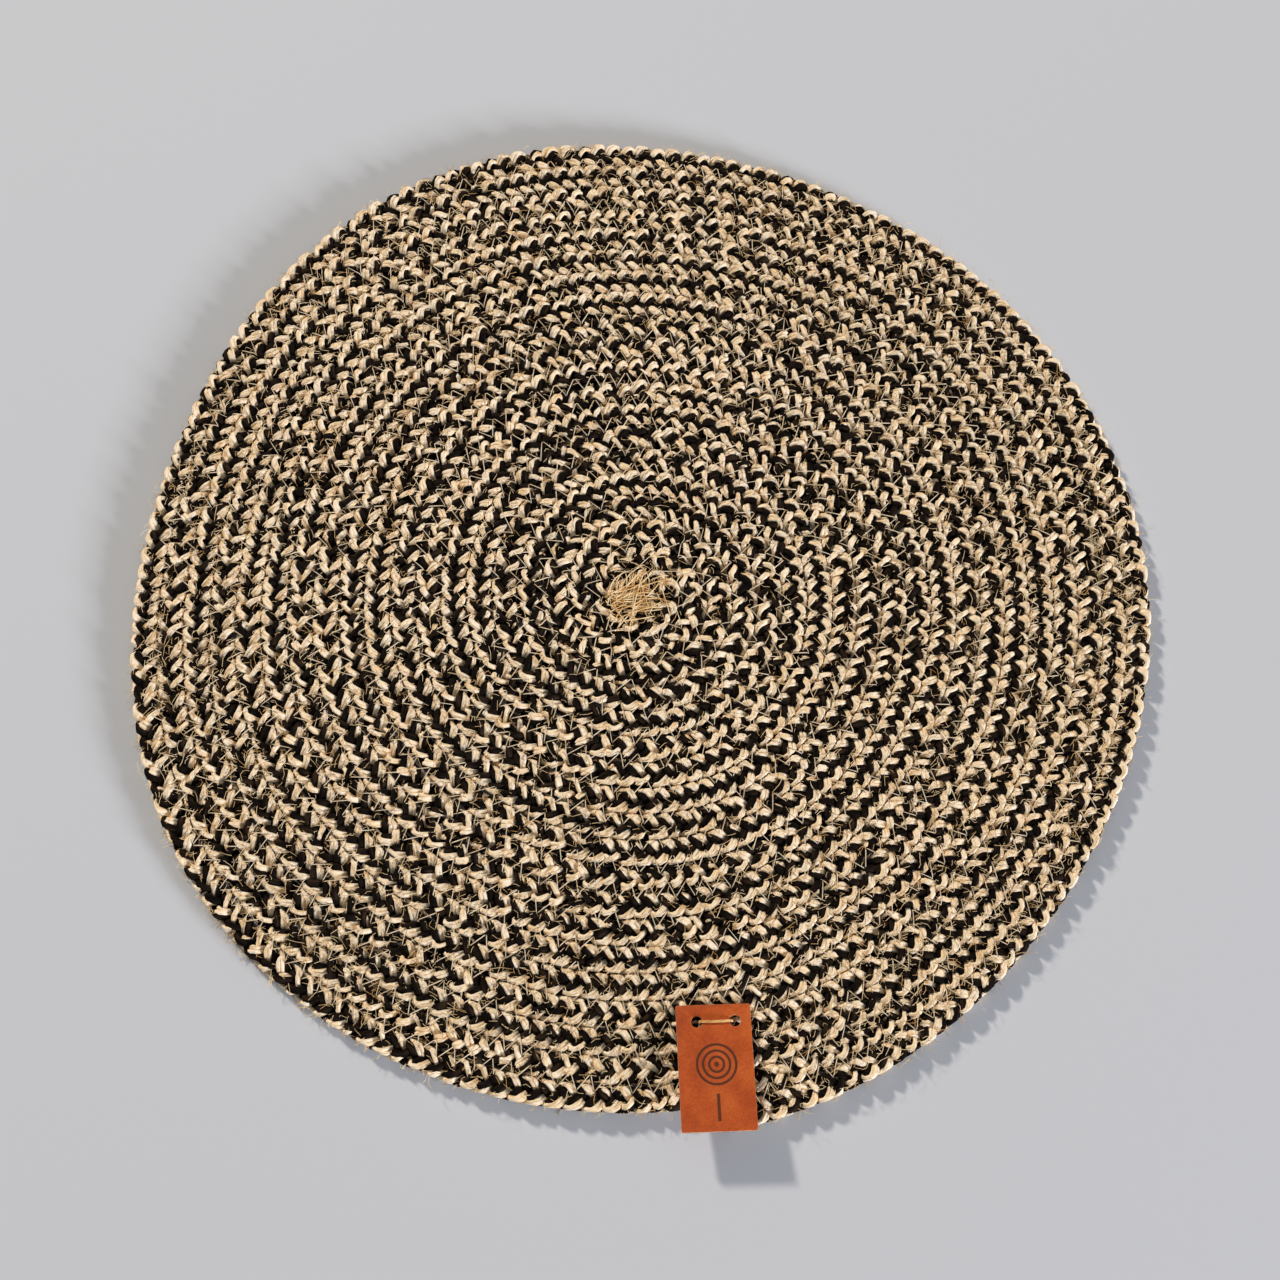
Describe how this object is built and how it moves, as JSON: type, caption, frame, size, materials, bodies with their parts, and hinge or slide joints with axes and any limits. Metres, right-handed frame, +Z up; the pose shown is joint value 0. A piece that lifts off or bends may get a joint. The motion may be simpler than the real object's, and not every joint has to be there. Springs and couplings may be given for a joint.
{
  "type": "seat pad",
  "caption": "Round flat chair seat pad: a plaited jute braid in black and natural, coiled and sewn row to row, with a leather label tied on at the rim.",
  "frame": {"origin": "the eye of the coil, on the surface that the pad lies on", "axes": "+Z up through the pad; -Y towards the rim that carries the label; +X to the right of someone who reads the label from that side"},
  "size_m": [0.3801, 0.383, 0.0139],
  "materials": {
    "black_jute": "dyed twisted yarn",
    "natural_jute": "undyed twisted yarn",
    "sewing_thread": "fine twisted thread",
    "natural_twine": "waxed twine",
    "tan_leather": "smooth vegetable-tanned, cut edges"
  },
  "bodies": {
    "pad": {"black_yarn_inner": "black_jute", "black_yarn_middle": "black_jute", "black_yarn_outer": "black_jute", "natural_yarn_inner_lower": "natural_jute", "natural_yarn_inner_upper": "natural_jute", "natural_yarn_middle_lower": "natural_jute", "natural_yarn_middle_upper": "natural_jute", "natural_yarn_outer_lower": "natural_jute", "natural_yarn_outer_upper": "natural_jute", "seam_thread_top": "sewing_thread", "seam_thread_bottom": "sewing_thread", "centre_tack": "natural_twine", "label_twine": "natural_twine"},
    "label": {"label": "tan_leather"}
  },
  "joints": [
    {"name": "label_lift", "type": "hinge", "parent": "pad", "child": "label", "pos_m": [0.01839, -0.15052, 0.00745], "axis": [-1, 0, 0], "range_deg": [-6.5, 50], "deforming": ["label_twine"]}
  ]
}
